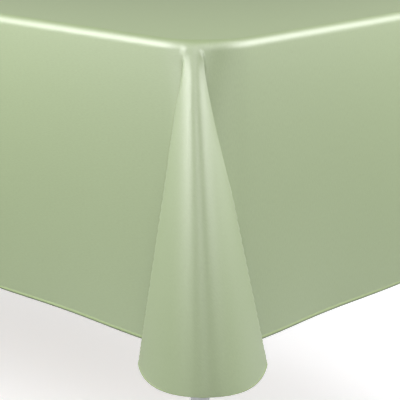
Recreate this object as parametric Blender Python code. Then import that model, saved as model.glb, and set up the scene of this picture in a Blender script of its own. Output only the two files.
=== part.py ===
"""Rectangular folding banquet table, dressed with a tablecloth.

Metres, +Z up. The origin is on the floor under the middle of the table, the long
sides run along X and the feet stand on z = 0. The legs fold inwards about pivot tubes
that run along Y, and the cloth lifts straight off.
"""
import math

import bmesh
import bpy
from mathutils import Matrix, Vector

# Table top
TABLE_LENGTH = 1.829
TABLE_WIDTH = 0.762
TABLE_HEIGHT = 0.749
CORNER_RADIUS = 0.0762
TOP_THICKNESS = 0.019
BAND_WIDTH = 0.010
ARC_STEPS = 10

# Rails glued under the top
RAIL_WIDTH = 0.020
RAIL_DEPTH = 0.030
SIDE_RAIL_LENGTH = 1.770
SIDE_RAIL_OFFSET = 0.335

# Folding leg frames
LEG_INSET = 0.100
LEG_SPREAD = 0.285
PIVOT_DROP = 0.027
LEG_RADIUS = 0.0127
TUBE_WALL = 0.0015
CROSS_RADIUS = 0.008
PIVOT_TUBE_OVERHANG = 0.015
CAP_RADIUS = 0.0150
CAP_HEIGHT = 0.034
CAP_FLOOR = 0.004
CAP_LIP = 0.0008
CAP_FOOT_CHAMFER = 0.002
CAP_TOP_CHAMFER = 0.001
ROUND_STEPS = 28
HOLE_STEPS = 20
SCREW_STEPS = 14
PIN_STEPS = 16

# Folding brace: distances from the leg pivot to the top bracket pin and to the cross tube
BRACE_TOP_REACH = 0.310
BRACE_LEG_REACH = 0.280
BRACE_OFFSET = 0.017
ARM_HALF_WIDTH = 0.007
ARM_THICKNESS = 0.003
PIN_RADIUS = 0.003
PIN_HEAD_RADIUS = 0.0052
PIN_HEAD_HEIGHT = 0.0016
PIN_CROWN_RADIUS = 0.0031
PIN_RIM_HEIGHT = 0.0005
CLIP_WALL = 0.003
EAR_THICKNESS = 0.0025

# Brackets and screws
STRAP_WIDTH = 0.030
STRAP_THICKNESS = 0.0025
STRAP_SPREAD = 0.250
FLANGE_REACH = 0.036
SCREW_REACH = 0.027
SCREW_RADIUS = 0.0020
SCREW_HEAD_RADIUS = 0.0042
SCREW_HEAD_HEIGHT = 0.0022
SCREW_BITE = 0.012
SCREW_CROWN_RADIUS = 0.0029
SCREW_RIM_HEIGHT = 0.0010
SCREW_POINT = 0.003
BRACKET_LENGTH = 0.056
BRACKET_WIDTH = 0.026
BRACKET_SCREW_SPREAD = 0.018
BRACKET_SCREW_SETBACK = 0.0156

# Cloth: flat size, thickness, and how it hangs
CLOTH_LENGTH = 2.591
CLOTH_WIDTH = 1.524
CLOTH_CUT_RADIUS = 0.381
CLOTH_THICKNESS = 0.002
CLOTH_GAP = 0.0006
HEM_FLARE = 0.010
FOLD_HALF_WIDTH = 0.079
FOLD_ROOT_OUT = 0.071
FOLD_STAND_OUT = 0.100
FOLD_SHOULDER = 0.010
FOLD_STEPS = 12
FLANK_STEPS = 3
DROP_STEPS = 5
ROLL_STEPS = 5
PANEL_LEAD = 0.060

# Edges sharper than these, in degrees, stay crisp
CREASE = 40
CLOTH_CREASE = 50

GAP = 0.0003
RUN = 0.0004

UNDERSIDE = TABLE_HEIGHT - TOP_THICKNESS
PIVOT_Z = UNDERSIDE - PIVOT_DROP
LEG_X = TABLE_LENGTH / 2 - LEG_INSET
CLOTH_OFFSET = CLOTH_THICKNESS + CLOTH_GAP
CLOTH_ROLL = TOP_THICKNESS / 2 + CLOTH_OFFSET

MATERIALS = {
    "cloth": ((0.42, 0.52, 0.30), 0.45, 0.0),
    "plywood": ((0.56, 0.38, 0.20), 0.55, 0.0),
    "vinyl": ((0.05, 0.04, 0.035), 0.45, 0.0),
    "pine": ((0.62, 0.45, 0.26), 0.60, 0.0),
    "grey_steel": ((0.42, 0.43, 0.44), 0.40, 0.2),
    "zinc_steel": ((0.55, 0.55, 0.57), 0.35, 1.0),
    "black_plastic": ((0.02, 0.02, 0.02), 0.50, 0.0),
}


def clear_scene():
    for item in list(bpy.data.objects):
        bpy.data.objects.remove(item)


def surface(name):
    """The Principled material of that name, made once."""
    if name in bpy.data.materials:
        return bpy.data.materials[name]
    colour, roughness, metallic = MATERIALS[name]
    made = bpy.data.materials.new(name)
    made.use_nodes = True
    shader = made.node_tree.nodes["Principled BSDF"]
    shader.inputs["Base Color"].default_value = (*colour, 1.0)
    shader.inputs["Roughness"].default_value = roughness
    shader.inputs["Metallic"].default_value = metallic
    return made


def add_object(name, bm, material, parent=None, location=(0, 0, 0), rotation=(0, 0, 0)):
    bmesh.ops.recalc_face_normals(bm, faces=bm.faces)
    mesh = bpy.data.meshes.new(name)
    bm.to_mesh(mesh)
    bm.free()
    mesh.materials.append(surface(material))
    made = bpy.data.objects.new(name, mesh)
    made.parent = parent
    made.location = location
    made.rotation_euler = rotation
    bpy.context.scene.collection.objects.link(made)
    return made


def add_pivot(name, location):
    """An empty on a joint's axis, which carries the pieces that turn with it."""
    made = bpy.data.objects.new(name, None)
    made.location = location
    bpy.context.scene.collection.objects.link(made)
    return made


def smooth(made, angle=CREASE):
    made.data.shade_smooth()
    made.data.set_sharp_from_angle(angle=math.radians(angle))


def prism(points, along):
    """A bmesh of the closed outline, extruded by the vector along."""
    bm = bmesh.new()
    face = bm.faces.new([bm.verts.new(point) for point in points])
    grown = bmesh.ops.extrude_face_region(bm, geom=[face])
    moved = [item for item in grown["geom"] if isinstance(item, bmesh.types.BMVert)]
    bmesh.ops.translate(bm, verts=moved, vec=along)
    return bm


def block(low, high):
    """A bmesh box between two corners."""
    bm = bmesh.new()
    bmesh.ops.create_cube(bm, size=1.0)
    size = Vector(high) - Vector(low)
    middle = (Vector(high) + Vector(low)) / 2
    bmesh.ops.scale(bm, verts=bm.verts, vec=size)
    bmesh.ops.translate(bm, verts=bm.verts, vec=middle)
    return bm


def turned(profile, steps=ROUND_STEPS, hollow=False):
    """A bmesh turned about Z from (radius, height) points; hollow closes the profile."""
    bm = bmesh.new()
    verts = [bm.verts.new((radius, 0, height)) for radius, height in profile]
    pairs = list(zip(verts, verts[1:]))
    if hollow:
        pairs.append((verts[-1], verts[0]))
    edges = [bm.edges.new(pair) for pair in pairs]
    bmesh.ops.spin(bm, geom=verts + edges, cent=(0, 0, 0), axis=(0, 0, 1),
                   angle=math.tau, steps=steps, use_merge=True)
    bmesh.ops.remove_doubles(bm, verts=bm.verts, dist=1e-6)
    return bm


def pipe(length, radius, wall=TUBE_WALL):
    """A bmesh of an open tube along +Z from the origin."""
    inner = radius - wall
    return turned([(inner, 0), (radius, 0), (radius, length), (inner, length)], hollow=True)


def drill(target, holes, radius, depth):
    """Cut round holes: each is a (centre, direction) pair in the target's own space."""
    bm = bmesh.new()
    for centre, direction in holes:
        turn = Vector((0, 0, 1)).rotation_difference(Vector(direction)).to_matrix().to_4x4()
        bmesh.ops.create_cone(bm, cap_ends=True, segments=HOLE_STEPS, radius1=radius, radius2=radius,
                              depth=depth, matrix=Matrix.Translation(centre) @ turn)
    cutter = add_object(f"{target.name}_drill_{len(target.modifiers)}", bm, "zinc_steel", target)
    cutter.hide_render = True
    cutter.display_type = "WIRE"
    cut = target.modifiers.new("holes", "BOOLEAN")
    cut.operation = "DIFFERENCE"
    cut.solver = "EXACT"
    cut.object = cutter


def rounded_outline(half_length, half_width, radius, steps=ARC_STEPS):
    """Points of a rounded rectangle, anticlockwise from the +X side."""
    points = []
    for corner, (sign_x, sign_y) in enumerate(((1, 1), (-1, 1), (-1, -1), (1, -1))):
        centre = Vector((sign_x * (half_length - radius), sign_y * (half_width - radius)))
        for step in range(steps + 1):
            angle = math.pi / 2 * (corner + step / steps)
            points.append(centre + radius * Vector((math.cos(angle), math.sin(angle))))
    return points


def loft(rings, close_rings=False):
    """A bmesh skinned over equal rings of points, each ring a closed loop."""
    bm = bmesh.new()
    loops = [[bm.verts.new(point) for point in ring] for ring in rings]
    pairs = list(zip(loops, loops[1:]))
    if close_rings:
        pairs.append((loops[-1], loops[0]))
    for lower, upper in pairs:
        for index in range(len(lower)):
            after = (index + 1) % len(lower)
            bm.faces.new((lower[index], lower[after], upper[after], upper[index]))
    return bm, loops


def screw_places():
    """Every screw: (name, x, y), two for each bracket under the top."""
    places = []
    for end, side in (("left", -1), ("right", 1)):
        for row, spread in (("front", -STRAP_SPREAD), ("back", STRAP_SPREAD)):
            places.append((f"hinge_screw_outer_{row}_{end}", side * (LEG_X + SCREW_REACH), spread))
            places.append((f"hinge_screw_inner_{row}_{end}", side * (LEG_X - SCREW_REACH), spread))
        for place, shift in (("outer", 1), ("inner", -1)):
            x = side * (LEG_X - BRACE_TOP_REACH + shift * BRACKET_SCREW_SPREAD)
            places.append((f"brace_screw_{place}_{end}", x, ear_plane() + BRACKET_SCREW_SETBACK))
    return places


def ear_plane():
    """Y of the brace bracket's ear, on the upper arm's side."""
    return ARM_THICKNESS + RUN * 2


def make_top():
    half_length = TABLE_LENGTH / 2 - BAND_WIDTH - GAP
    half_width = TABLE_WIDTH / 2 - BAND_WIDTH - GAP
    outline = rounded_outline(half_length, half_width, CORNER_RADIUS - BAND_WIDTH - GAP)
    points = [(point.x, point.y, UNDERSIDE) for point in outline]
    board = add_object("table_top", prism(points, (0, 0, TOP_THICKNESS)), "plywood")
    holes = [((x, y, UNDERSIDE), (0, 0, 1)) for _, x, y in screw_places()]
    drill(board, holes, SCREW_RADIUS + GAP, 2 * (SCREW_BITE + 2 * GAP))


def make_edge_band():
    """Bullnose strip round the board: a flat back and a half-round nose."""
    nose = TOP_THICKNESS / 2
    profile = [(BAND_WIDTH, UNDERSIDE)]
    for step in range(ARC_STEPS + 1):
        angle = -math.pi / 2 + math.pi * step / ARC_STEPS
        profile.append((nose - nose * math.cos(angle), UNDERSIDE + nose + nose * math.sin(angle)))
    profile.append((BAND_WIDTH, TABLE_HEIGHT))
    rings = []
    for inset, height in profile:
        outline = rounded_outline(TABLE_LENGTH / 2 - inset, TABLE_WIDTH / 2 - inset,
                                  CORNER_RADIUS - inset)
        rings.append([(point.x, point.y, height) for point in outline])
    bm, _ = loft(rings, close_rings=True)
    smooth(add_object("edge_band", bm, "vinyl"))


def make_rails():
    top = UNDERSIDE - GAP
    low = top - RAIL_DEPTH
    inner = SIDE_RAIL_OFFSET - RAIL_WIDTH / 2
    for row, side in (("front", -1), ("back", 1)):
        near, far = sorted((side * inner, side * (inner + RAIL_WIDTH)))
        bm = block((-SIDE_RAIL_LENGTH / 2, near, low), (SIDE_RAIL_LENGTH / 2, far, top))
        add_object(f"side_rail_{row}", bm, "pine")
    for end, side in (("left", -1), ("right", 1)):
        outer = SIDE_RAIL_LENGTH / 2
        near, far = sorted((side * outer, side * (outer - RAIL_WIDTH)))
        bm = block((near, -inner + GAP, low), (far, inner - GAP, top))
        add_object(f"end_rail_{end}", bm, "pine")


def make_hinge_brackets(end, side):
    """Two straps that hold the pivot tube up to the board."""
    top = UNDERSIDE - GAP
    inner = LEG_RADIUS + RUN
    outer = inner + STRAP_THICKNESS
    under = top - STRAP_THICKNESS
    half = [(FLANGE_REACH, top), (FLANGE_REACH, under), (outer, under)]
    arc = [math.pi * step / ARC_STEPS for step in range(ARC_STEPS + 1)]
    outside = [(outer * math.cos(a), PIVOT_Z - outer * math.sin(a)) for a in arc]
    inside = [(inner * math.cos(a), PIVOT_Z - inner * math.sin(a)) for a in reversed(arc)]
    profile = half + outside + [(-x, z) for x, z in reversed(half)]
    profile += [(-inner, top)] + inside + [(inner, top)]
    for row, spread in (("front", -STRAP_SPREAD), ("back", STRAP_SPREAD)):
        near = spread - STRAP_WIDTH / 2
        bm = prism([(side * LEG_X + x, near, z) for x, z in profile], (0, STRAP_WIDTH, 0))
        strap = add_object(f"hinge_bracket_{row}_{end}", bm, "zinc_steel")
        holes = []
        for shift in (-SCREW_REACH, SCREW_REACH):
            holes.append(((side * LEG_X + shift, spread, under), (0, 0, 1)))
        drill(strap, holes, SCREW_RADIUS + GAP, 4 * STRAP_THICKNESS)


def make_brace_bracket(end, side):
    """Angle plate under the board, with the ear that the upper arm turns on."""
    top = UNDERSIDE - GAP
    under = top - STRAP_THICKNESS
    middle = side * (LEG_X - BRACE_TOP_REACH)
    pin_z = PIVOT_Z + BRACE_OFFSET
    low = pin_z - ARM_HALF_WIDTH
    ear = ear_plane()
    profile = [(ear, low), (ear + EAR_THICKNESS, low), (ear + EAR_THICKNESS, under),
               (ear + BRACKET_WIDTH, under), (ear + BRACKET_WIDTH, top), (ear, top)]
    start = middle - BRACKET_LENGTH / 2
    bm = prism([(start, y, z) for y, z in profile], (BRACKET_LENGTH, 0, 0))
    bracket = add_object(f"brace_bracket_{end}", bm, "zinc_steel")
    drill(bracket, [((middle, ear, pin_z), (0, 1, 0))], PIN_RADIUS + GAP, 4 * EAR_THICKNESS)
    holes = [((x, y, under), (0, 0, 1)) for name, x, y in screw_places()
             if name.startswith("brace") and name.endswith(end)]
    drill(bracket, holes, SCREW_RADIUS + GAP, 4 * STRAP_THICKNESS)


def make_screws():
    """Pan-head wood screws, driven up through the bracket plates."""
    plate_under = UNDERSIDE - GAP - STRAP_THICKNESS
    seat = plate_under - GAP
    length = UNDERSIDE + SCREW_BITE - seat
    profile = [(0, -SCREW_HEAD_HEIGHT), (SCREW_CROWN_RADIUS, -SCREW_HEAD_HEIGHT),
               (SCREW_HEAD_RADIUS, -SCREW_RIM_HEIGHT), (SCREW_HEAD_RADIUS, 0),
               (SCREW_RADIUS, 0), (SCREW_RADIUS, length - SCREW_POINT), (0, length)]
    for name, x, y in screw_places():
        smooth(add_object(name, turned(profile, steps=SCREW_STEPS), "zinc_steel", location=(x, y, seat)))


def make_leg_frame(end, side):
    """The pieces that fold together: tubes, cross tube, caps, brace clip and its pin."""
    frame = add_pivot(f"leg_frame_{end}", (side * LEG_X, 0, PIVOT_Z))
    along_y = (-math.pi / 2, 0, 0)
    half = LEG_SPREAD + PIVOT_TUBE_OVERHANG
    smooth(add_object(f"leg_pivot_tube_{end}", pipe(2 * half, LEG_RADIUS), "grey_steel", frame,
                      (0, -half, 0), along_y))
    reach = LEG_SPREAD - LEG_RADIUS - GAP
    smooth(add_object(f"leg_cross_tube_{end}", pipe(2 * reach, CROSS_RADIUS), "grey_steel", frame,
                      (0, -reach, -BRACE_LEG_REACH), along_y))
    top = -LEG_RADIUS - GAP
    foot = CAP_FLOOR + GAP - PIVOT_Z
    bore = LEG_RADIUS + GAP
    lip = CAP_RADIUS - CAP_LIP
    cap = [(0, 0), (lip, 0), (CAP_RADIUS, CAP_FOOT_CHAMFER),
           (CAP_RADIUS, CAP_HEIGHT - CAP_TOP_CHAMFER), (lip, CAP_HEIGHT),
           (bore, CAP_HEIGHT), (bore, CAP_FLOOR), (0, CAP_FLOOR)]
    for row, spread in (("front", -LEG_SPREAD), ("back", LEG_SPREAD)):
        smooth(add_object(f"leg_tube_{row}_{end}", pipe(top - foot, LEG_RADIUS), "grey_steel",
                          frame, (0, spread, foot)))
        smooth(add_object(f"foot_cap_{row}_{end}", turned(cap), "black_plastic", frame,
                          (0, spread, -PIVOT_Z)))
    return frame


def link_outline(length, start_radius, end_radius, steps=10):
    """Outline in XZ of two circles on the X axis, joined by straight tangents."""
    lean = math.asin((start_radius - end_radius) / length)
    points = []
    for step in range(steps + 1):
        angle = math.pi / 2 - lean + (math.pi + 2 * lean) * step / steps
        points.append((start_radius * math.cos(angle), 0, start_radius * math.sin(angle)))
    for step in range(steps + 1):
        angle = -math.pi / 2 + lean + (math.pi - 2 * lean) * step / steps
        points.append((length + end_radius * math.cos(angle), 0, end_radius * math.sin(angle)))
    return points


def add_link(name, material, parent, location, turn, near, lengths, bores):
    """A flat link that lies in XZ: lengths is (pitch, start radius, end radius)."""
    outline = [(x, near, z) for x, _, z in link_outline(*lengths)]
    made = add_object(name, prism(outline, (0, ARM_THICKNESS, 0)), material, parent, location,
                      (0, turn, 0))
    for centre, radius in bores:
        drill(made, [((centre, near, 0), (0, 1, 0))], radius, 4 * ARM_THICKNESS)
    return made


def add_pin(name, parent, location, head_side, length):
    """A rivet along Y: head_side is -1 or 1, and length is its shank."""
    profile = [(0, -PIN_HEAD_HEIGHT), (PIN_CROWN_RADIUS, -PIN_HEAD_HEIGHT),
               (PIN_HEAD_RADIUS, -PIN_RIM_HEIGHT), (PIN_HEAD_RADIUS, 0),
               (PIN_RADIUS, 0), (PIN_RADIUS, length), (0, length)]
    smooth(add_object(name, turned(profile, steps=PIN_STEPS), "zinc_steel", parent, location,
                      (head_side * math.pi / 2, 0, 0)))


def brace_geometry():
    """Arm lengths and the open angle: straight when open, folded flat with the legs."""
    across = BRACE_TOP_REACH - BRACE_OFFSET
    down = BRACE_LEG_REACH + BRACE_OFFSET
    span = math.hypot(across, down)
    fold_step = BRACE_TOP_REACH - BRACE_LEG_REACH
    return (span + fold_step) / 2, (span - fold_step) / 2, math.atan2(down, across)


def make_brace(end, side, frame):
    upper, lower, angle = brace_geometry()
    arm = ARM_HALF_WIDTH
    pin_bore = PIN_RADIUS + GAP
    upper_near = RUN
    lower_near = -RUN - ARM_THICKNESS
    clip_near = lower_near - RUN - ARM_THICKNESS

    top_pin = (side * (LEG_X - BRACE_TOP_REACH), 0, PIVOT_Z + BRACE_OFFSET)
    turn = angle if side > 0 else math.pi - angle
    add_link(f"brace_upper_arm_{end}", "zinc_steel", None, top_pin, turn, upper_near,
             (upper, arm, arm), [(0, pin_bore)])
    ear_back = ear_plane() + EAR_THICKNESS + GAP
    add_pin(f"brace_top_pin_{end}", None, (top_pin[0], ear_back, top_pin[2]), 1,
            ear_back - upper_near)

    leg_pin = (-side * BRACE_OFFSET, 0, -BRACE_LEG_REACH)
    turn = angle - math.pi if side > 0 else -angle
    low_arm = add_link(f"brace_lower_arm_{end}", "zinc_steel", frame, leg_pin, turn, lower_near,
                       (lower, arm, arm), [(0, pin_bore), (lower, pin_bore)])
    add_pin(f"brace_elbow_pin_{end}", low_arm, (lower, lower_near - GAP, 0), -1,
            GAP + ARM_THICKNESS)

    clip_eye = CROSS_RADIUS + GAP
    turn = math.pi if side > 0 else 0.0
    add_link(f"brace_clip_{end}", "zinc_steel", frame, (0, 0, -BRACE_LEG_REACH), turn, clip_near,
             (BRACE_OFFSET, clip_eye + CLIP_WALL, arm), [(0, clip_eye), (BRACE_OFFSET, pin_bore)])
    pin_start = clip_near - GAP
    add_pin(f"brace_leg_pin_{end}", frame, (leg_pin[0], pin_start, leg_pin[2]), -1,
            -RUN - pin_start)


def cloth_top_ring(inset):
    """One corner of the cloth's outline where it wraps the edge, as (p, q) points.

    p and q run outwards from the sharp corner, along the table's length and width.
    """
    radius = CORNER_RADIUS + CLOTH_OFFSET
    steps = FOLD_STEPS + 2 * FLANK_STEPS
    points = [(-radius - PANEL_LEAD, -inset)]
    for step in range(steps + 1):
        angle = math.pi / 2 * (1 - step / steps)
        points.append((-radius + (radius - inset) * math.cos(angle),
                       -radius + (radius - inset) * math.sin(angle)))
    points.append((-inset, -radius - PANEL_LEAD))
    return points


def cloth_hem_ring():
    """The same corner at the hem: flared panels and the fold that stands out."""
    shoulder = (-FOLD_HALF_WIDTH, FOLD_SHOULDER)
    root = (-FOLD_ROOT_OUT, -FOLD_ROOT_OUT + HEM_FLARE * math.sqrt(2))
    left = []
    for step in range(FLANK_STEPS):
        share = step / FLANK_STEPS
        left.append((root[0] + share * (shoulder[0] - root[0]),
                     root[1] + share * (shoulder[1] - root[1])))
    nose = []
    for step in range(FOLD_STEPS + 1):
        angle = -math.pi / 2 + math.pi * step / FOLD_STEPS
        nose.append((FOLD_HALF_WIDTH * math.sin(angle),
                     FOLD_SHOULDER + (FOLD_STAND_OUT - FOLD_SHOULDER) * math.cos(angle)))
    right = [(-across, out) for across, out in reversed(left)]
    half = math.sqrt(0.5)
    points = [((out + across) * half, (out - across) * half) for across, out in left + nose + right]
    radius = CORNER_RADIUS + CLOTH_OFFSET
    return [(-radius - PANEL_LEAD, HEM_FLARE)] + points + [(HEM_FLARE, -radius - PANEL_LEAD)]


def cloth_reach(share):
    """Cloth left below the rolled edge, for a share 0 to 1 of the way round a corner."""
    radius = CORNER_RADIUS + CLOTH_OFFSET
    half_length = TABLE_LENGTH / 2 + CLOTH_OFFSET
    offset = CLOTH_LENGTH / 2 - CLOTH_CUT_RADIUS - (half_length - radius)
    angle = math.pi / 2 * min(max(share, 0.0), 1.0)
    ahead = offset * (math.cos(angle) + math.sin(angle))
    to_cut = ahead + math.sqrt(ahead ** 2 + CLOTH_CUT_RADIUS ** 2 - 2 * offset ** 2)
    return to_cut - (radius - CLOTH_ROLL) - math.pi / 2 * CLOTH_ROLL


def cloth_corner_rings():
    """Rings of one corner from the top's edge down to the hem, as (p, q, z)."""
    top = TABLE_HEIGHT + CLOTH_OFFSET
    rings = []
    for step in range(ROLL_STEPS + 1):
        angle = math.pi / 2 * step / ROLL_STEPS
        inset = CLOTH_ROLL * (1 - math.sin(angle))
        height = top - CLOTH_ROLL * (1 - math.cos(angle))
        rings.append([(p, q, height) for p, q in cloth_top_ring(inset)])
    edge = cloth_top_ring(0)
    hem = cloth_hem_ring()
    count = len(edge) - 3
    for step in range(1, DROP_STEPS + 1):
        share = step / DROP_STEPS
        ring = []
        for index, (start, end) in enumerate(zip(edge, hem)):
            reach = cloth_reach((index - 1) / count)
            out = math.hypot(end[0] - start[0], end[1] - start[1])
            drop = math.sqrt(reach ** 2 - out ** 2)
            ring.append((start[0] + share * (end[0] - start[0]),
                         start[1] + share * (end[1] - start[1]), top - CLOTH_ROLL - share * drop))
        rings.append(ring)
    return rings


def make_cloth():
    """One sheet: flat top, rolled edge, hanging panels and a standing fold at each corner."""
    half_length = TABLE_LENGTH / 2 + CLOTH_OFFSET
    half_width = TABLE_WIDTH / 2 + CLOTH_OFFSET
    rings = []
    for corner in cloth_corner_rings():
        ring = []
        for sign_x, sign_y in ((-1, -1), (1, -1), (1, 1), (-1, 1)):
            points = corner if sign_x * sign_y < 0 else list(reversed(corner))
            for p, q, height in points:
                ring.append((sign_x * (half_length + p), sign_y * (half_width + q), height))
        rings.append(ring)
    bm, loops = loft(rings)
    bm.faces.new(loops[0])
    cloth = add_object("tablecloth", bm, "cloth")
    wall = cloth.modifiers.new("thickness", "SOLIDIFY")
    wall.thickness = CLOTH_THICKNESS
    wall.offset = -1.0
    smooth(cloth, CLOTH_CREASE)


def main():
    clear_scene()
    make_cloth()
    make_top()
    make_edge_band()
    make_rails()
    make_screws()
    for end, side in (("left", -1), ("right", 1)):
        make_hinge_brackets(end, side)
        make_brace_bracket(end, side)
        frame = make_leg_frame(end, side)
        make_brace(end, side, frame)


main()
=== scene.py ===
"""A satin tablecloth draped over a folding banquet table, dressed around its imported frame."""

import math

import bmesh
import bpy
import numpy as np
from bpy.props import FloatProperty, PointerProperty, StringProperty
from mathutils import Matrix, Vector


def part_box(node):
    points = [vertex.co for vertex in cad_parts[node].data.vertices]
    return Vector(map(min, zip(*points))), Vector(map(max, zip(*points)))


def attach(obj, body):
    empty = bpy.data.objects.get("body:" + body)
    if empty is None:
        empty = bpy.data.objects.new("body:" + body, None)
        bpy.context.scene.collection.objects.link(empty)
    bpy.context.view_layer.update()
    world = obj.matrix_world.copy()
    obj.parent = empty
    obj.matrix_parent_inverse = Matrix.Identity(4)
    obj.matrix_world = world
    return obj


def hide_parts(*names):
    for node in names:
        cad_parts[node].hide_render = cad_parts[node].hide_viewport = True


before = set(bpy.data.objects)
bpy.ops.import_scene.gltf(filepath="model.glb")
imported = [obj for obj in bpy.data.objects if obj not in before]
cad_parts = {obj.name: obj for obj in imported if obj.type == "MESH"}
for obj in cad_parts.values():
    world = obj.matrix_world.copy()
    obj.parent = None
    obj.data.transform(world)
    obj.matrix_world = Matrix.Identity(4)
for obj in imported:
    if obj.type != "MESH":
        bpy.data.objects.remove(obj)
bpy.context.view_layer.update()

bl_info = {
    "name": "Tablecloth on a table",
    "version": (1, 0, 0),
    "blender": (4, 5, 0),
    "location": "View3D > Sidebar > Tablecloth",
    "description": "Drapes a satin cloth over a folding table and lights it",
    "category": "Object",
}

MM = 0.001
ROOT_2 = math.sqrt(2)

# The overlocked hem: the length of one loop of thread, and how far it reaches past the cloth's edge.
STITCH = 0.0025
HEM_OVERHANG = 0.0005

# Where the board is, from the frame. Its edge is a half round.
BOARD_LOW, BOARD_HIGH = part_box("edge_band")
HALF_LENGTH = BOARD_HIGH.x
HALF_WIDTH = BOARD_HIGH.y
BOARD_TOP = BOARD_HIGH.z
EDGE_RADIUS = (BOARD_HIGH.z - BOARD_LOW.z) / 2


# ---------------------------------------------------------------- sizes and colours

class ClothSizes(bpy.types.PropertyGroup):
    """How the cloth is cut, hemmed and hung, and its colour."""

    drop: FloatProperty(
        name="Drop", description="How far the cloth hangs below the board's edge",
        default=0.381, unit="LENGTH")
    board_corner: FloatProperty(
        name="Board corner", description="Radius of the board's corners in plan",
        default=0.0762, unit="LENGTH")
    thickness: FloatProperty(
        name="Thickness", description="Thickness of the satin",
        default=0.0006, unit="LENGTH", precision=5)
    lift: FloatProperty(
        name="Lift", description="Height of the middle of the cloth's thickness above the board",
        default=0.0016, unit="LENGTH", precision=5)
    trim: FloatProperty(
        name="Trim", description="How much the middle of each round corner is cut in, as a share",
        default=0.008)
    flare: FloatProperty(
        name="Flare", description="How far the hem of a side stands off the board's side",
        default=0.008, unit="LENGTH")
    hem_band: FloatProperty(
        name="Hem band", description="Height of the overlocked band",
        default=0.005, unit="LENGTH")
    hem_thickness: FloatProperty(
        name="Hem thickness", description="Thickness of the overlocked band",
        default=0.0016, unit="LENGTH", precision=5)
    waves: FloatProperty(
        name="Waves", description="Height of the soft waves in the hanging sides",
        default=0.0030, unit="LENGTH", precision=5)
    colour: StringProperty(
        name="Satin", description="Body colour of the satin, as an sRGB hex value", default="7F8E65")


class TableColours(bpy.types.PropertyGroup):
    """The table's finishes, as sRGB hex values."""

    plywood: StringProperty(name="Plywood", description="Birch veneer of the board", default="C39A66")
    vinyl: StringProperty(name="Edge", description="Vinyl edge moulding", default="3A312B")
    pine: StringProperty(name="Rails", description="Pine of the rails", default="CFAE7B")
    legs: StringProperty(name="Legs", description="Powder coat of the legs", default="A9ABAC")
    caps: StringProperty(name="Caps", description="Plastic of the foot caps", default="232323")
    zinc: StringProperty(name="Zinc", description="Zinc plate of the hardware", default="BDC0C4")


class StageSettings(bpy.types.PropertyGroup):
    """Floor, lights and camera."""

    brightness: FloatProperty(
        name="Brightness", description="Multiplies the power of every light", default=1.0)
    room: FloatProperty(
        name="Room", description="Strength of the plain white room", default=0.16)
    backdrop: FloatProperty(
        name="Backdrop", description="How bright the room looks behind the table", default=0.85)
    floor_glow: FloatProperty(
        name="Floor glow", description="How much brighter the floor looks than it is lit", default=0.50)
    floor: StringProperty(name="Floor", description="Colour of the floor, as an sRGB hex value",
                          default="EDEEF1")


class WorkbenchSettings(bpy.types.PropertyGroup):
    """All the settings of this object."""

    cloth: PointerProperty(type=ClothSizes)
    table: PointerProperty(type=TableColours)
    stage: PointerProperty(type=StageSettings)


def settings():
    """The settings that the operators read."""
    return bpy.context.scene.tablecloth


# ---------------------------------------------------------------- materials

def linear(code):
    """A hex sRGB colour as linear RGBA."""
    channels = [int(code[i:i + 2], 16) / 255 for i in (0, 2, 4)]
    return (*[c / 12.92 if c <= 0.04045 else ((c + 0.055) / 1.055) ** 2.4 for c in channels], 1.0)


def add_node(tree, kind, values=None, links=None, feeds=None, stops=(), **options):
    """A node of that kind, with its options and input values.

    links says which (node, output) each input comes from, feeds which (node, input) each output goes to,
    and stops the (place, colour) stops of a colour ramp.
    """
    node = tree.nodes.new(kind)
    for name, value in options.items():
        setattr(node, name, value)
    for name, value in (values or {}).items():
        node.inputs[name].default_value = value
    for name, (source, output) in (links or {}).items():
        tree.links.new(source.outputs[output], node.inputs[name])
    for name, (target, socket) in (feeds or {}).items():
        tree.links.new(node.outputs[name], target.inputs[socket])
    for _ in stops[2:]:
        node.color_ramp.elements.new(0.5)
    for number, (place, colour) in enumerate(stops):
        node.color_ramp.elements[number].position = place
        node.color_ramp.elements[number].color = colour
    return node


def new_material(name, colour, roughness, metallic=0.0, **values):
    """A Principled material, as (material, tree, shader)."""
    made = bpy.data.materials.new(name)
    made.use_nodes = True
    tree = made.node_tree
    shader = tree.nodes["Principled BSDF"]
    shader.inputs["Base Color"].default_value = colour
    shader.inputs["Roughness"].default_value = roughness
    shader.inputs["Metallic"].default_value = metallic
    for socket, value in values.items():
        shader.inputs[socket.replace("_", " ")].default_value = value
    made.diffuse_color = colour
    return made, tree, shader


def satin(code):
    """Woven polyester satin. Its long floats give a broad soft gloss and a pale sheen at the rims."""
    colour = linear(code)
    made, tree, shader = new_material(
        "polyester_satin", colour, roughness=0.48, Sheen_Weight=0.05, Sheen_Roughness=0.4,
        Specular_IOR_Level=1.0, IOR=1.75)
    place = add_node(tree, "ShaderNodeUVMap", uv_map="flat")
    # Threads are 0.15 mm apart. They are drawn 1.2 mm apart and 5.6 mm long, so that the grain shows.
    threads = add_node(tree, "ShaderNodeMapping", {"Scale": (180.0, 830.0, 1.0)}, {"Vector": (place, "UV")})
    slubs = add_node(tree, "ShaderNodeTexNoise", {"Scale": 1.0, "Detail": 3.0, "Roughness": 0.6},
                     {"Vector": (threads, "Vector")})
    low, high = ((*(share * c for c in colour[:3]), 1.0) for share in (0.94, 1.06))
    add_node(tree, "ShaderNodeValToRGB", links={"Fac": (slubs, "Fac")},
             feeds={"Color": (shader, "Base Color")}, stops=[(0.30, low), (0.70, high)])
    add_node(tree, "ShaderNodeBump", {"Strength": 0.12, "Distance": 0.2 * MM},
             {"Height": (slubs, "Fac")}, {"Normal": (shader, "Normal")})
    return made


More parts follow.
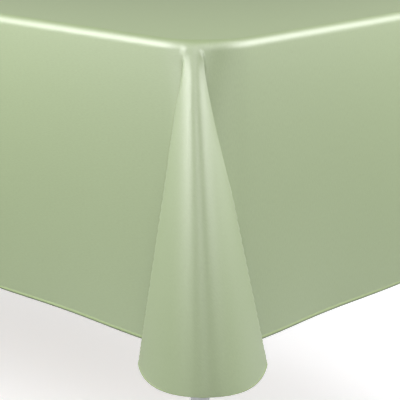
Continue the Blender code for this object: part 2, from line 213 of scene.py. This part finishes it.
def overlock_thread():
    """Spun polyester thread, overlocked. Matt and fuzzy, with raised loops across the cloth's edge."""
    made, tree, shader = new_material("overlock_thread", linear("93A06C"), roughness=0.75, Sheen_Weight=0.2)
    place = add_node(tree, "ShaderNodeUVMap", uv_map="hem")
    # A wave texture of scale 1 repeats every 2 pi / 20 metres.
    loops = add_node(tree, "ShaderNodeTexWave",
                     {"Scale": math.tau / 20 / STITCH, "Distortion": 0.6, "Detail": 1.0},
                     {"Vector": (place, "UV")}, wave_type="BANDS", bands_direction="X")
    across = add_node(tree, "ShaderNodeSeparateXYZ", links={"Vector": (place, "UV")})
    # Pale thread next to the cloth. The darkening towards the very edge is painted shade: the shadow where
    # the thread turns under.
    add_node(tree, "ShaderNodeValToRGB", links={"Fac": (across, "Y")},
             feeds={"Color": (shader, "Base Color")},
             stops=[(0.0, linear("97A77A")), (0.5, linear("8B9B6A")),
                    (0.7, linear("5C6D47")), (1.0, linear("475739"))])
    add_node(tree, "ShaderNodeBump", {"Strength": 0.6, "Distance": 0.4 * MM},
             {"Height": (loops, "Fac")}, {"Normal": (shader, "Normal")})
    return made


def veneer(code):
    """Birch plywood under clear varnish. Long straight grain with a satin gloss."""
    made, tree, shader = new_material("varnished_birch_plywood", linear(code), roughness=0.45,
                                      Coat_Weight=0.25, Coat_Roughness=0.25)
    place = add_node(tree, "ShaderNodeTexCoord")
    # Grain lines about 8 mm apart with finer ones between, running the length of the board.
    stretch = add_node(tree, "ShaderNodeMapping", {"Scale": (3.0, 60.0, 60.0)},
                       {"Vector": (place, "Object")})
    grain = add_node(tree, "ShaderNodeTexNoise",
                     {"Scale": 2.0, "Detail": 6.0, "Roughness": 0.6, "Distortion": 0.4},
                     {"Vector": (stretch, "Vector")})
    add_node(tree, "ShaderNodeValToRGB", links={"Fac": (grain, "Fac")},
             feeds={"Color": (shader, "Base Color")},
             stops=[(0.30, linear("A97C4B")), (0.55, linear(code)), (0.75, linear("D4B282"))])
    add_node(tree, "ShaderNodeBump", {"Strength": 0.15, "Distance": 0.3 * MM},
             {"Height": (grain, "Fac")}, {"Normal": (shader, "Normal")})
    return made


def pine(code):
    """Planed pine, unfinished. Pale with darker growth lines."""
    made, tree, shader = new_material("planed_pine", linear(code), roughness=0.62)
    place = add_node(tree, "ShaderNodeTexCoord")
    # Growth lines about 5 mm apart.
    stretch = add_node(tree, "ShaderNodeMapping", {"Scale": (2.0, 30.0, 30.0)},
                       {"Vector": (place, "Object")})
    rings = add_node(tree, "ShaderNodeTexWave", {"Scale": 2.0, "Distortion": 4.0, "Detail": 3.0},
                     {"Vector": (stretch, "Vector")}, bands_direction="Y")
    add_node(tree, "ShaderNodeValToRGB", links={"Fac": (rings, "Fac")},
             feeds={"Color": (shader, "Base Color")}, stops=[(0.2, linear("B98F58")), (0.6, linear(code))])
    add_node(tree, "ShaderNodeBump", {"Strength": 0.2, "Distance": 0.3 * MM},
             {"Height": (rings, "Fac")}, {"Normal": (shader, "Normal")})
    return made


def grained(name, code, roughness, grain_mm, strength, metallic=0.0, **values):
    """A moulded or coated surface with a fine grain, grain_mm across, and a gloss worn in patches."""
    made, tree, shader = new_material(name, linear(code), roughness, metallic, **values)
    place = add_node(tree, "ShaderNodeTexCoord")
    grain = add_node(tree, "ShaderNodeTexNoise", {"Scale": 1 / (grain_mm * MM), "Detail": 2.0},
                     {"Vector": (place, "Object")})
    # Worn patches about 70 mm across.
    wear = add_node(tree, "ShaderNodeTexNoise", {"Scale": 14.0, "Detail": 4.0},
                    {"Vector": (place, "Object")})
    add_node(tree, "ShaderNodeMapRange",
             {"From Min": 0.3, "From Max": 0.7,
              "To Min": roughness * 0.85, "To Max": min(1.0, roughness * 1.2)},
             {"Value": (wear, "Fac")}, {"Result": (shader, "Roughness")})
    add_node(tree, "ShaderNodeBump", {"Strength": strength, "Distance": 0.2 * MM},
             {"Height": (grain, "Fac")}, {"Normal": (shader, "Normal")})
    return made


# ---------------------------------------------------------------- the drape

# One fold for each corner, as (sign of x, sign of y). It stands between two rims, with a tuck behind each.
# Of every pair of values the first is for the long side and the second for the end.
#   centre, half  where its top sits on the board's corner, and half how wide it is there, in degrees round
#                 the corner from the long side
#   pleats        how much of the corner each pleat, from tuck to rim, takes up at the top, in degrees
#   slides        how far the long side's tuck and rim and the end's rim and tuck are pushed round the
#                 corner where they leave the edge, in metres
#   reach         half its width at the hem, in metres
#   stand         how far each rim stands out, along the diagonal, from where the board's sides would meet,
#                 in metres
#   depth         how far its front stands out from its rims, in metres
#   fullness      how round its front is next to each rim: 1 is an ellipse, and more is flatter
FOLDS = {
    (1, -1): {"centre": 34.0, "half": 7.6, "pleats": (0.5, 0.2),
              "slides": (0.0006, 0.0006, 0.0030, -0.0020), "reach": (0.0830, 0.0790),
              "stand": (-0.036, -0.034), "depth": 0.137, "fullness": (1.15, 1.45)},
    (1, 1): {"centre": 50.0, "half": 7.5, "pleats": (0.8, 1.6),
             "slides": (0.0020, -0.0020, 0.0018, -0.0010), "reach": (0.0760, 0.0830),
             "stand": (-0.016, -0.024), "depth": 0.128, "fullness": (1.3, 1.1)},
    (-1, -1): {"centre": 47.0, "half": 6.0, "pleats": (1.2, 0.8),
               "slides": (0.0012, -0.0018, 0.0022, -0.0022), "reach": (0.0830, 0.0770),
               "stand": (-0.022, -0.014), "depth": 0.116, "fullness": (1.0, 1.2)},
    (-1, 1): {"centre": 40.0, "half": 7.0, "pleats": (1.0, 1.4),
              "slides": (0.0024, -0.0024, 0.0016, -0.0008), "reach": (0.0780, 0.0790),
              "stand": (-0.018, -0.020), "depth": 0.124, "fullness": (1.2, 1.3)},
}
# How far the top of a fold is puffed out where it leaves the edge.
FOLD_LIFT = 0.0014
# The length of hem over which a tuck's slide fades into the flat side.
SLIDE_FADE = 0.050
# Half the gap between a fold's two tucks.
TUCK_GAP = 0.004
# How far before the corner the hem of a side turns in to its tuck.
TURN_IN = 0.040 * ROOT_2

# The plan of the hem: its points in the front of a fold, the step of its even points, how far it starts
# before the round of the corner, and how many steps its corners are rounded over.
FRONT_POINTS = 200
HEM_STEP = 0.001
HEM_LEAD = 0.060
HEM_ROUNDING = 4
# How many steps of hem the turn round the corner is eased over, and the puffs and slides.
TURN_ROUNDING = 10
PUSH_ROUNDING = 4
AVERAGE_PASSES = 2
# The hem's places are worked out again this many times, from its hung length.
PLACE_PASSES = 8
# How deep the tucks reach under a fold, at the least and the most, measured out along the diagonal. Their
# depth is found between these by halving.
TUCK_DEPTHS = (-0.03, 0.12)
TUCK_HALVINGS = 24
# The least square of a fall, which keeps its root real while the tucks are being found.
LEAST_SQUARE = 1e-6

# Soft waves along the hanging sides: (share, length in metres, start in radians) of each, and how far from
# the round of a corner they are full.
WAVES = ((0.6, 0.43, 0.7), (0.4, 0.27, 2.1))
WAVE_FADE = 0.12

# The cloth's mesh is finest where it rolls over, from ROLL_INSIDE within the board's edge to ROLL_OUTSIDE
# past it. Its lines are even on the hanging sides and on the board's corners. From there they open out,
# and stop MIDDLE_GAP short of the middle.
ROLL_INSIDE, ROLL_OUTSIDE = 0.012, 0.020
ROLL_STEP = 0.0027
CORNER_STEP = 0.0052
PANEL_STEP = 0.0066
TOP_STEP_GROWTH = 1.35
TOP_STEP_MOST = 0.030
MIDDLE_GAP = 0.02


def moving_average(values, reach):
    """Evenly spaced values, each averaged with its neighbours within reach."""
    for _ in range(AVERAGE_PASSES):
        before, after = (np.repeat(end, reach, 0) for end in (values[:1], values[-1:]))
        padded = np.concatenate([before, values, after])
        total = np.cumsum(np.concatenate([np.zeros_like(padded[:1]), padded]), axis=0)
        width = 2 * reach + 1
        values = (total[width:] - total[:-width]) / width
    return values


def along(points):
    """Distance along a row of points."""
    steps = np.linalg.norm(np.diff(points, axis=0), axis=1)
    return np.concatenate([[0.0], np.cumsum(steps)])


def hem_plan(fold, cloth, tuck):
    """Plan of the hem round one corner, on the corner's own axes, and the places of its tucks and rims.

    The origin is where the board's sides would meet, and both axes point outwards. tuck is how far out
    along the diagonal the two tucks reach.
    """
    radius, flare = cloth.board_corner, cloth.flare + cloth.lift
    across, outward = np.array((1, -1)) / ROOT_2, np.array((1, 1)) / ROOT_2
    side_reach, end_reach = fold["reach"]
    side_stand, end_stand = fold["stand"]
    side_fullness, end_fullness = fold["fullness"]
    turn = np.linspace(math.pi, 0, FRONT_POINTS)
    share = (1 + np.cos(turn)) / 2
    sideways = (end_reach - side_reach) / 2 + (end_reach + side_reach) / 2 * np.cos(turn)
    bulge = np.maximum(np.sin(turn), 0) ** (side_fullness + (end_fullness - side_fullness) * share)
    stand = side_stand + (end_stand - side_stand) * share + fold["depth"] * bulge
    front = sideways[:, None] * across + stand[:, None] * outward
    side_tuck, end_tuck = (tuck * outward + gap * across for gap in (-TUCK_GAP, TUCK_GAP))
    leave = flare - TURN_IN
    end = -radius - HEM_LEAD
    line = np.array([(end, flare), (leave, flare), side_tuck, *front, end_tuck,
                     (flare, leave), (flare, end)])
    travel = along(line)
    tucks_and_rims = travel[[2, 3, -4, -3]]
    count = int(travel[-1] / HEM_STEP)
    even = np.linspace(0, travel[-1], count)
    plan = np.column_stack([np.interp(even, travel, line[:, axis]) for axis in (0, 1)])
    plan = moving_average(plan, HEM_ROUNDING)
    marks = np.interp(tucks_and_rims, even, np.arange(count))
    first = int(np.argmax(plan[:, 0] >= -radius))
    last = count - 1 - int(np.argmax(plan[::-1, 1] >= -radius))
    plan = plan[first:last + 1]
    plan[0] = (-radius, flare)
    plan[-1] = (flare, -radius)
    return plan, marks - first


def rulings(fold, cloth, tuck):
    """The straight lines of cloth from the board's rounded corner to the hem, flat and hung.

    Each has its start on the board, its flat hem, its way outwards, its push, how far it bends over the
    roll, the place where it leaves the roll, and its hung hem. excess is how much longer the hung hem is
    than the flat one.
    """
    radius, drop = cloth.board_corner, cloth.drop
    roll = EDGE_RADIUS + cloth.lift
    plan, marks = hem_plan(fold, cloth, tuck)
    quarter = drop * math.pi / 2
    total = 2 * radius + quarter
    centre, half = fold["centre"], fold["half"]
    side_pleat, end_pleat = fold["pleats"]
    turns = [0, centre - half - side_pleat, centre - half, centre + half, centre + half + end_pleat, 90]
    station = along(plan)
    station *= total / station[-1]
    index = np.arange(len(plan))
    for _ in range(PLACE_PASSES):
        places = np.interp(marks, index, station)
        angle = np.interp(station, [0, *places, total], turns)
        angle = np.radians(moving_average(angle, TURN_ROUNDING))
        angle[0], angle[-1] = 0, math.pi / 2
        way = np.column_stack([np.sin(angle), np.cos(angle)])
        aside = np.column_stack([np.cos(angle), -np.sin(angle)])
        stops = [places[0] - SLIDE_FADE, *places, places[-1] + SLIDE_FADE]
        slide = moving_average(np.interp(station, stops, [0, *fold["slides"], 0]), PUSH_ROUNDING)
        puff = moving_average(np.interp(station, places, [0, FOLD_LIFT, FOLD_LIFT, 0]), PUSH_ROUNDING)
        push = way * puff[:, None] + aside * slide[:, None]
        start = -radius + (radius - EDGE_RADIUS) * way
        around = np.clip((station - radius) / drop, 0, math.pi / 2)
        flat = drop * np.column_stack([np.sin(around), np.cos(around)])
        flat *= (1 - cloth.trim * np.sin(2 * around) ** 2)[:, None]
        flat[:, 0] += np.minimum(station - radius, 0)
        flat[:, 1] -= np.maximum(station - radius - quarter, 0)
        length = np.linalg.norm(flat - start, axis=1)
        radial = np.einsum("ij,ij->i", plan - start, way) - roll
        bend = math.pi / 2 - np.arctan2(np.maximum(radial, 0), length)
        past = start + way * (roll * np.sin(bend))[:, None] + push
        low = np.column_stack([past, -roll * (1 - np.cos(bend))])
        free = length - roll * bend
        flatwise = np.linalg.norm(plan - low[:, :2], axis=1)
        fall = np.sqrt(np.maximum(free ** 2 - flatwise ** 2, LEAST_SQUARE))
        hem = np.column_stack([plan, low[:, 2] - fall])
        hung = along(hem)
        station = hung * total / hung[-1]
    return {"start": start, "flat": flat, "way": way, "push": push, "bend": bend, "low": low, "hem": hem,
            "roll": roll, "excess": hung[-1] - total}


def fitted_rulings(fold, cloth):
    """The rulings with the tucks behind the fold just deep enough to take all of the hem."""
    shallow, deep = TUCK_DEPTHS
    for _ in range(TUCK_HALVINGS):
        tuck = (shallow + deep) / 2
        if rulings(fold, cloth, tuck)["excess"] > 0:
            deep = tuck
        else:
            shallow = tuck
    return rulings(fold, cloth, tuck)


def hang_corner(p, q, lines):
    """Where flat points (p, q) past a corner's rounded edge hang, on the corner's own axes."""
    start = lines["start"]
    ahead = lines["flat"] - start
    # A point lies between the two rulings at which it changes sides.
    side = (p[:, None] - start[:, 0]) * ahead[:, 1] - (q[:, None] - start[:, 1]) * ahead[:, 0]
    after = np.clip(np.argmax(side <= 0, axis=1), 1, len(start) - 1)
    after[~np.any(side <= 0, axis=1)] = len(start) - 1
    rows = np.arange(len(p))
    side_before, side_after = side[rows, after - 1], side[rows, after]
    change = np.where(side_before == side_after, 1, side_before - side_after)
    part = np.clip(side_before / change, 0, 1)

    def pick(name):
        table = lines[name]
        share = part if table.ndim == 1 else part[:, None]
        return table[after - 1] * (1 - share) + table[after] * share

    origin, way, push = pick("start"), pick("way"), pick("push")
    bend, low, hem = pick("bend"), pick("low"), pick("hem")
    travel = np.hypot(p - origin[:, 0], q - origin[:, 1])
    roll = lines["roll"]
    way /= np.linalg.norm(way, axis=1)[:, None]
    turn = np.minimum(travel / roll, bend)
    past = origin + way * (roll * np.sin(turn))[:, None] + push * ((turn / bend) ** 2)[:, None]
    rolled = np.column_stack([past, -roll * (1 - np.cos(turn))])
    straight = np.maximum(travel - roll * bend, 0)
    fall = hem - low
    fall /= np.linalg.norm(fall, axis=1)[:, None]
    return rolled + fall * straight[:, None]


def hang_side(beyond, place, half, cloth):
    """How far out and down flat points hang that are that far past a straight edge.

    place is each point's distance along the edge from its middle, and half is half the edge's length.
    """
    roll = EDGE_RADIUS + cloth.lift
    lean = math.atan2(cloth.flare, cloth.drop)
    bend = math.pi / 2 - lean
    travel = beyond + EDGE_RADIUS
    turn = np.minimum(travel / roll, bend)
    straight = np.maximum(travel - roll * bend, 0)
    out = -EDGE_RADIUS + roll * np.sin(turn) + straight * math.sin(lean)
    down = -roll * (1 - np.cos(turn)) - straight * math.cos(lean)
    # The waves fade out smoothly next to the corners, and grow towards the hem.
    fade = np.clip((half - cloth.board_corner - np.abs(place)) / WAVE_FADE, 0, 1)
    fade = fade ** 2 * (3 - 2 * fade)
    swing = sum(share * np.sin(math.tau * place / length + start) for share, length, start in WAVES)
    out = out + cloth.waves * fade * swing * (straight / cloth.drop) ** 2
    return out, down


def grid_lines(half, cloth):
    """Places of the cloth's mesh lines from its middle to its hem, for a board of that half length."""
    corner, hem = half - cloth.board_corner, half + cloth.drop
    zones = [(corner, half - ROLL_INSIDE, CORNER_STEP),
             (half - ROLL_INSIDE, half + ROLL_OUTSIDE, ROLL_STEP),
             (half + ROLL_OUTSIDE, hem - cloth.hem_band, PANEL_STEP)]
    lines = []
    for low, high, step in zones:
        lines += list(np.linspace(low, high, round((high - low) / step) + 1))[:-1]
    lines += [hem - cloth.hem_band, hem]
    step, place = PANEL_STEP, corner
    inner = []
    while place - step > MIDDLE_GAP:
        place -= step
        inner.append(place)
        step = min(step * TOP_STEP_GROWTH, TOP_STEP_MOST)
    return np.array([*reversed(inner), *lines])


def flat_cut(x, y, cloth):
    """Moves the points of the corner squares so that the cloth's corners are cut round."""
    drop = cloth.drop
    u = np.clip((np.abs(x) - HALF_LENGTH) / drop, 0, 1)
    v = np.clip((np.abs(y) - HALF_WIDTH) / drop, 0, 1)
    corner = (u > 0) & (v > 0)
    round_u = u * np.sqrt(1 - v * v / 2)
    round_v = v * np.sqrt(1 - u * u / 2)
    reach = round_u ** 2 + round_v ** 2
    cut = 1 - cloth.trim * (2 * round_u * round_v) ** 2 / np.where(reach > 0, reach, 1)
    round_u, round_v = round_u * cut, round_v * cut
    x = np.where(corner, np.sign(x) * (HALF_LENGTH + drop * round_u), x)
    y = np.where(corner, np.sign(y) * (HALF_WIDTH + drop * round_v), y)
    return x, y


def draped(x, y, cloth):
    """The hung places of flat points, as the cloth lies on the board and falls over its edge."""
    radius = cloth.board_corner
    p, q = np.abs(x) - HALF_LENGTH, np.abs(y) - HALF_WIDTH
    spot = np.column_stack([p, q, np.zeros(len(x))])
    over_q = (p <= -radius) & (q > -EDGE_RADIUS)
    out, down = hang_side(q[over_q], x[over_q], HALF_LENGTH, cloth)
    spot[over_q, 1], spot[over_q, 2] = out, down
    over_p = (q <= -radius) & (p > -EDGE_RADIUS)
    out, down = hang_side(p[over_p], y[over_p], HALF_WIDTH, cloth)
    spot[over_p, 0], spot[over_p, 2] = out, down
    rounded = (p > -radius) & (q > -radius) & (np.hypot(p + radius, q + radius) > radius - EDGE_RADIUS)
    for (sign_x, sign_y), fold in FOLDS.items():
        mine = rounded & (np.sign(x) == sign_x) & (np.sign(y) == sign_y)
        spot[mine] = hang_corner(p[mine], q[mine], fitted_rulings(fold, cloth))
    level = BOARD_TOP + cloth.lift
    return np.column_stack([np.sign(x) * (HALF_LENGTH + spot[:, 0]),
                            np.sign(y) * (HALF_WIDTH + spot[:, 1]), level + spot[:, 2]])


def make_mesh_object(name, bm, material, body):
    """A smooth object from a bmesh in world coordinates, riding on a body."""
    mesh = bpy.data.meshes.new(name)
    bm.to_mesh(mesh)
    bm.free()
    mesh.materials.append(material)
    mesh.shade_smooth()
    made = bpy.data.objects.new(name, mesh)
    bpy.context.scene.collection.objects.link(made)
    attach(made, body)
    return made


def draped_sheet(cloth):
    """The hung cloth's bmesh, and the flat place, column and row of each of its vertices."""
    lines_x, lines_y = (np.concatenate([-lines[::-1], lines])
                        for lines in (grid_lines(HALF_LENGTH, cloth), grid_lines(HALF_WIDTH, cloth)))
    bm = bmesh.new()
    # A grid one unit wide, whose vertices are then told apart by their places in it.
    bmesh.ops.create_grid(bm, x_segments=len(lines_x) - 1, y_segments=len(lines_y) - 1, size=0.5)
    bm.verts.ensure_lookup_table()
    place = np.array([v.co for v in bm.verts])
    column = np.rint((place[:, 0] + 0.5) * (len(lines_x) - 1)).astype(int)
    row = np.rint((place[:, 1] + 0.5) * (len(lines_y) - 1)).astype(int)
    flat_x, flat_y = flat_cut(lines_x[column], lines_y[row], cloth)
    for vert, point in zip(bm.verts, draped(flat_x, flat_y, cloth)):
        vert.co = point
    return bm, np.column_stack([flat_x, flat_y]), column, row


def thicken(made, thickness):
    """Gives a surface its thickness, half to each side."""
    wall = made.modifiers.new("thickness", "SOLIDIFY")
    wall.thickness = thickness
    wall.offset = 0.0


class TABLECLOTH_OT_cloth(bpy.types.Operator):
    """Cuts the satin cloth and drapes it over the board"""

    bl_idname = "tablecloth.drape_cloth"
    bl_label = "Drape the cloth"

    def execute(self, context):
        cloth = settings().cloth
        bm, flat, _, _ = draped_sheet(cloth)
        flat_map = bm.loops.layers.uv.new("flat")
        for face in bm.faces:
            for loop in face.loops:
                loop[flat_map].uv = flat[loop.vert.index]
        made = make_mesh_object("satin_cloth", bm, satin(cloth.colour), "cloth")
        thicken(made, cloth.thickness)
        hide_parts("tablecloth")
        return {"FINISHED"}


class TABLECLOTH_OT_hem(bpy.types.Operator):
    """Sews the overlocked band along the edge of the cloth"""

    bl_idname = "tablecloth.overlock_hem"
    bl_label = "Overlock the hem"

    def execute(self, context):
        cloth = settings().cloth
        bm, _, column, row = draped_sheet(cloth)
        last_column, last_row = column.max(), row.max()
        vert_at = {(c, r): vert for c, r, vert in zip(column, row, bm.verts)}
        round_the_edge = [(c, 0) for c in range(last_column)]
        round_the_edge += [(last_column, r) for r in range(last_row)]
        round_the_edge += [(c, last_row) for c in range(last_column, 0, -1)]
        round_the_edge += [(0, r) for r in range(last_row, 0, -1)]
        travel = along(np.array([vert_at[place].co for place in round_the_edge + round_the_edge[:1]]))
        hem_place = {}
        for place, distance in zip(round_the_edge, travel):
            inner = vert_at[min(max(place[0], 1), last_column - 1), min(max(place[1], 1), last_row - 1)]
            outer = vert_at[place]
            hem_place.setdefault(inner, (distance, 0.0))
            hem_place[outer] = (distance, 1.0)
            outer.co += (outer.co - inner.co).normalized() * HEM_OVERHANG
        bmesh.ops.delete(bm, geom=[vert for vert in bm.verts if vert not in hem_place], context="VERTS")
        hem_map = bm.loops.layers.uv.new("hem")
        for face in bm.faces:
            distances = [hem_place[vert][0] for vert in face.verts]
            split = max(distances) - min(distances) > travel[-1] / 2
            for loop in face.loops:
                distance, side = hem_place[loop.vert]
                # The band's last face runs on past the start instead of back to it.
                if split and distance < travel[-1] / 2:
                    distance += travel[-1]
                loop[hem_map].uv = (distance, side)
        band = make_mesh_object("overlocked_hem", bm, overlock_thread(), "cloth")
        thicken(band, cloth.hem_thickness)
        rounding = band.modifiers.new("rounding", "SUBSURF")
        rounding.levels = rounding.render_levels = 1
        return {"FINISHED"}


# ---------------------------------------------------------------- the table

def dress(starts, made):
    """Gives a material to every node of the frame whose name starts with one of these."""
    nodes = [node for name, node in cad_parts.items() if name.startswith(starts)]
    if not nodes:
        raise RuntimeError(f"the frame has no node that starts with {starts}")
    for node in nodes:
        for place in node.material_slots:
            place.material = made


class TABLECLOTH_OT_board(bpy.types.Operator):
    """Varnishes the plywood board and colours its edge moulding"""

    bl_idname = "tablecloth.finish_board"
    bl_label = "Finish the board"

    def execute(self, context):
        table = settings().table
        dress(("table_top",), veneer(table.plywood))
        # Moulded vinyl, with a fine leather grain. Dark and a little glossy.
        dress(("edge_band",),
              grained("moulded_vinyl", table.vinyl, roughness=0.42, grain_mm=1.2, strength=0.2))
        return {"FINISHED"}


class TABLECLOTH_OT_rails(bpy.types.Operator):
    """Planes the pine rails under the board"""

    bl_idname = "tablecloth.finish_rails"
    bl_label = "Finish the rails"

    def execute(self, context):
        dress(("side_rail", "end_rail"), pine(settings().table.pine))
        return {"FINISHED"}


class TABLECLOTH_OT_legs(bpy.types.Operator):
    """Coats the folding legs and colours their foot caps"""

    bl_idname = "tablecloth.finish_legs"
    bl_label = "Finish the legs"

    def execute(self, context):
        table = settings().table
        # Powder coat over steel, which hides the metal under a fine orange peel. The peel is 0.5 mm
        # across, and is drawn 1.5 mm across so that it shows.
        coat = grained("powder_coated_steel", table.legs, roughness=0.38, grain_mm=1.5, strength=0.25,
                       Coat_Weight=0.2)
        dress(("leg_",), coat)
        # Moulded polyethylene, soft and nearly matt.
        dress(("foot_cap",),
              grained("moulded_polyethylene", table.caps, roughness=0.55, grain_mm=1.0, strength=0.2))
        return {"FINISHED"}


class TABLECLOTH_OT_hardware(bpy.types.Operator):
    """Plates the brackets, braces, pins and screws with zinc"""

    bl_idname = "tablecloth.finish_hardware"
    bl_label = "Finish the hardware"

    def execute(self, context):
        # Zinc plate on pressed steel: bare metal, cool grey, with a soft uneven gloss.
        plate = grained("zinc_plated_steel", settings().table.zinc, roughness=0.34, grain_mm=2.0,
                        strength=0.15, metallic=1.0)
        dress(("hinge_", "brace_"), plate)
        return {"FINISHED"}


# ---------------------------------------------------------------- stage

FLOOR_HALF = 30.0

# The camera and the lights are placed from the top of the board's front right corner. Azimuths are in
# degrees, from the front (-Y) towards the right (+X). The lens is in millimetres.
CAMERA_FROM_CORNER = Vector((1.0596, -1.1260, 0.2493))
CAMERA_AZIMUTH = 43.5
CAMERA_PITCH = 15.6
CAMERA_LENS = 122.13

# Soft square lights, as (name, power in watts, side in metres, azimuth and elevation in degrees, and
# distance in metres).
LIGHTS = (
    ("left", 11.5, 0.8, -50.0, 24.0, 1.1),
    ("right", 8.5, 0.8, 141.0, 24.0, 1.1),
    ("front_left", 5.0, 0.5, -20.0, 18.0, 1.1),
    ("front", 2.5, 0.5, 43.0, 20.0, 1.1),
    ("front_right", 2.8, 0.5, 106.0, 18.0, 1.1),
    ("high_left", 4.5, 1.6, -48.0, 45.0, 1.6),
    ("high_right", 14.0, 1.6, 136.0, 43.0, 1.6),
    ("high_front", 15.0, 1.6, 43.0, 52.0, 1.6),
    ("back", 20.0, 1.6, 178.0, 8.0, 2.6),
    ("far", 20.0, 1.6, 268.0, 8.0, 3.2),
)


def direction(azimuth, elevation):
    """The unit vector from the board's corner that way, in degrees."""
    a, e = math.radians(azimuth), math.radians(elevation)
    return Vector((math.sin(a) * math.cos(e), -math.cos(a) * math.cos(e), math.sin(e)))


def put_facing(name, data, place, away):
    """A lamp or camera at a place, facing against a direction."""
    made = bpy.data.objects.new(name, data)
    bpy.context.scene.collection.objects.link(made)
    made.location = place
    made.rotation_mode = "QUATERNION"
    made.rotation_quaternion = (-away).to_track_quat("-Z", "Y")
    return made


def lay_floor(stage):
    """A pale floor. Its glow only shows: it doesn't light the cloth from below."""
    bm = bmesh.new()
    bmesh.ops.create_grid(bm, x_segments=2, y_segments=2, size=FLOOR_HALF)
    mesh = bpy.data.meshes.new("floor")
    bm.to_mesh(mesh)
    bm.free()
    floor = bpy.data.objects.new("floor", mesh)
    bpy.context.scene.collection.objects.link(floor)
    pale, tree, shader = new_material("pale_floor", linear(stage.floor), roughness=0.9,
                                      Emission_Color=(1, 1, 1, 1))
    seen = add_node(tree, "ShaderNodeLightPath")
    add_node(tree, "ShaderNodeMath", {1: stage.floor_glow}, {0: (seen, "Is Camera Ray")},
             {"Value": (shader, "Emission Strength")}, operation="MULTIPLY")
    mesh.materials.append(pale)


def white_room(stage):
    """A plain white room that looks brighter than it lights the table."""
    room = bpy.data.worlds.new("room")
    room.use_nodes = True
    tree = room.node_tree
    sky = tree.nodes["Background"]
    sky.inputs["Color"].default_value = (1, 1, 1, 1)
    seen = add_node(tree, "ShaderNodeLightPath")
    add_node(tree, "ShaderNodeMapRange", {"To Min": stage.room, "To Max": stage.backdrop},
             {"Value": (seen, "Is Camera Ray")}, {"Result": (sky, "Strength")})
    return room


class TABLECLOTH_OT_stage(bpy.types.Operator):
    """Sets out the floor, the lights and the camera"""

    bl_idname = "tablecloth.set_stage"
    bl_label = "Set the stage"

    def execute(self, context):
        stage = settings().stage
        scene = context.scene
        scene.view_settings.view_transform = "Standard"
        lay_floor(stage)
        scene.world = white_room(stage)
        corner = Vector((HALF_LENGTH, -HALF_WIDTH, BOARD_TOP))
        for name, power, size, azimuth, elevation, distance in LIGHTS:
            lamp = bpy.data.lights.new(name, "AREA")
            lamp.energy = power * stage.brightness
            lamp.size = size
            away = direction(azimuth, elevation)
            put_facing(name, lamp, corner + away * distance, away)
        camera = bpy.data.cameras.new("camera")
        camera.lens = CAMERA_LENS
        scene.camera = put_facing("camera", camera, corner + CAMERA_FROM_CORNER,
                                  direction(CAMERA_AZIMUTH, CAMERA_PITCH))
        return {"FINISHED"}


class TABLECLOTH_PT_workbench(bpy.types.Panel):
    """Lists the steps that dress the table, and their settings"""

    bl_idname = "TABLECLOTH_PT_workbench"
    bl_label = "Tablecloth"
    bl_space_type = "VIEW_3D"
    bl_region_type = "UI"
    bl_category = "Tablecloth"

    def draw(self, context):
        layout = self.layout
        values = settings()
        for title, group in (("Cloth", values.cloth), ("Table", values.table), ("Stage", values.stage)):
            box = layout.box()
            box.label(text=title)
            for name in group.bl_rna.properties.keys():
                if name not in ("rna_type", "name"):
                    box.prop(group, name)
        for step in STEPS:
            layout.operator(step.bl_idname)


STEPS = (TABLECLOTH_OT_board, TABLECLOTH_OT_rails, TABLECLOTH_OT_legs, TABLECLOTH_OT_hardware,
         TABLECLOTH_OT_cloth, TABLECLOTH_OT_hem, TABLECLOTH_OT_stage)
CLASSES = (ClothSizes, TableColours, StageSettings, WorkbenchSettings, *STEPS, TABLECLOTH_PT_workbench)


def register():
    for cls in CLASSES:
        bpy.utils.register_class(cls)
    bpy.types.Scene.tablecloth = PointerProperty(type=WorkbenchSettings)


def unregister():
    del bpy.types.Scene.tablecloth
    for cls in reversed(CLASSES):
        bpy.utils.unregister_class(cls)


def main():
    register()
    bpy.ops.tablecloth.finish_board()
    bpy.ops.tablecloth.finish_rails()
    bpy.ops.tablecloth.finish_legs()
    bpy.ops.tablecloth.finish_hardware()
    bpy.ops.tablecloth.drape_cloth()
    bpy.ops.tablecloth.overlock_hem()
    bpy.ops.tablecloth.set_stage()


if __name__ == "__main__":
    main()
